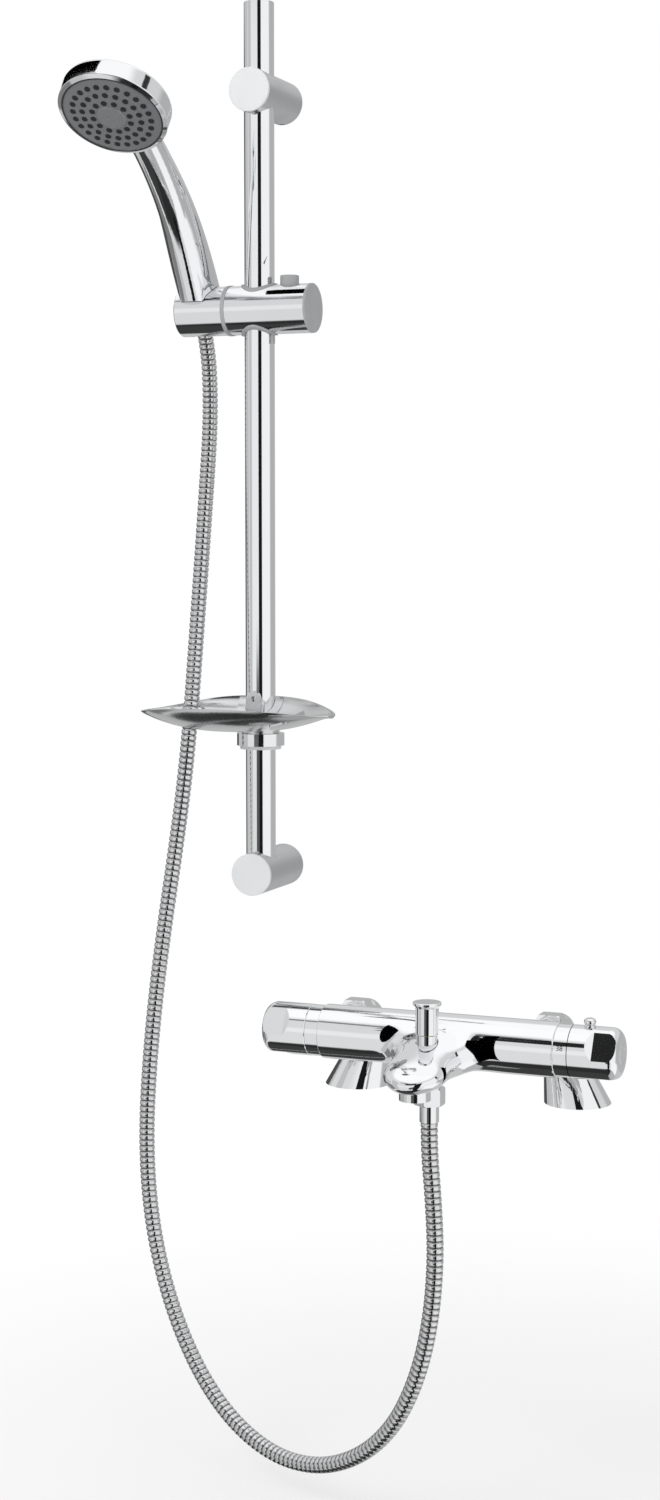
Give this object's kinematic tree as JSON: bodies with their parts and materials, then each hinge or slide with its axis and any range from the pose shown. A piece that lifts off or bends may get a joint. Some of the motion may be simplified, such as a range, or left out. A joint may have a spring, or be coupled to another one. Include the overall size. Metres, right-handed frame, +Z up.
{
  "type": "bath shower mixer",
  "caption": "Deck-mounted thermostatic bath shower mixer with a riser rail, sliding hand shower, ribbed hose and soap dish.",
  "frame": {"origin": "on the bath deck, midway between the two inlet legs", "axes": "+X to the right along the wall, +Y into the wall, +Z up"},
  "size_m": [0.4559, 0.2951, 1.1775],
  "materials": {
    "chrome": "polished",
    "chromed_plastic": "polished",
    "satin_chrome": "satin",
    "grey_plastic": "satin",
    "pale_plastic": "satin",
    "dark_rubber": "matte",
    "brass": "plain",
    "steel": "plain"
  },
  "bodies": {
    "slider": {"slider_body": "chromed_plastic", "slider_bush": "grey_plastic", "clamp_shoe": "pale_plastic", "slider_end_cap": "grey_plastic", "swivel_pin": "steel", "swivel_ring": "grey_plastic", "slider_button_spring": "steel"},
    "slider_release": {"slider_button": "grey_plastic"},
    "holder": {"handset_holder": "chromed_plastic", "holder_liner": "grey_plastic"},
    "handset": {"handset_body": "chromed_plastic", "handset_bezel": "chromed_plastic", "spray_plate": "grey_plastic", "spray_nozzles": "dark_rubber", "spray_centre_disc": "chromed_plastic", "handset_inlet": "brass", "handset_inlet_washer": "dark_rubber", "hose_cone_nut": "chrome", "hose_upper_ferrule": "chrome"},
    "dish_clamp": {"soap_dish_collar": "chromed_plastic", "soap_dish_bush": "pale_plastic"},
    "dish": {"soap_dish": "chromed_plastic"},
    "flow_control": {"flow_handle": "chrome", "flow_handle_screw": "steel", "flow_handle_cap": "chrome", "flow_spindle": "brass"},
    "temperature_control": {"override_spring": "steel", "temperature_handle": "chrome", "temperature_handle_screw": "steel", "temperature_handle_cap": "chrome", "temperature_spindle": "brass"},
    "override": {"override_button": "chromed_plastic"},
    "diverter": {"diverter_knob": "chrome", "diverter_spindle": "brass"},
    "mixer": {"aerator_housing": "chrome", "aerator_insert": "pale_plastic", "bracket_caps": "chrome", "bracket_grub_screws": "steel", "deck_gaskets": "dark_rubber", "deck_legs": "chrome", "deck_shrouds": "chrome", "diverter_bush": "brass", "flow_cartridge": "brass", "flow_ring": "pale_plastic", "hose_lower_ferrule": "chrome", "hose_lower_nut": "chrome", "hose_lower_washer": "dark_rubber", "inlet_filters": "steel", "lower_bracket": "satin_chrome", "mixer_body": "chrome", "rail_top_plug": "chromed_plastic", "rail_tube": "chrome", "shower_hose": "chrome", "shower_outlet_nipple": "brass", "temperature_ring": "pale_plastic", "thermostatic_cartridge": "brass", "union_nuts": "chrome", "upper_bracket": "satin_chrome", "wall_plates": "pale_plastic"}
  },
  "joints": [
    {"name": "slider_height", "type": "slide", "parent": "mixer", "child": "slider", "axis": [0, 0, 1], "range_m": [-0.18, 0.13], "deforming": ["shower_hose"]},
    {"name": "slider_release_press", "type": "slide", "parent": "slider", "child": "slider_release", "axis": [0, 0, -1], "range_m": [0, 0.003], "stiffness_N_per_m": 800, "deforming": ["slider_button_spring"]},
    {"name": "holder_tilt", "type": "hinge", "parent": "slider", "child": "holder", "pos_m": [-0.245, 0.103, 0.618], "axis": [1, 0, 0], "range_deg": [-30, 30], "deforming": ["shower_hose"]},
    {"name": "handset_lift", "type": "slide", "parent": "holder", "child": "handset", "axis": [0, -0.4131, 0.9107], "range_m": [0, 0.05], "deforming": ["shower_hose"]},
    {"name": "dish_height", "type": "slide", "parent": "mixer", "child": "dish_clamp", "axis": [0, 0, 1], "range_m": [-0.06, 0.06]},
    {"name": "dish_turn", "type": "hinge", "parent": "dish_clamp", "child": "dish", "pos_m": [-0.218, 0.103, 0.275], "axis": [0, 0, 1], "range_deg": [-6, 6]},
    {"name": "flow_turn", "type": "hinge", "parent": "mixer", "child": "flow_control", "pos_m": [-0.12, -0.061, 0.053], "axis": [1, 0, 0], "range_deg": [0, 90]},
    {"name": "temperature_turn", "type": "hinge", "parent": "mixer", "child": "temperature_control", "pos_m": [0.12, -0.061, 0.053], "axis": [1, 0, 0], "range_deg": [-190, 60]},
    {"name": "override_press", "type": "slide", "parent": "temperature_control", "child": "override", "axis": [0, 0, -1], "range_m": [0, 0.0015], "stiffness_N_per_m": 400, "deforming": ["override_spring"]},
    {"name": "diverter_lift", "type": "slide", "parent": "mixer", "child": "diverter", "axis": [0, 0, 1], "range_m": [0, 0.009]}
  ]
}
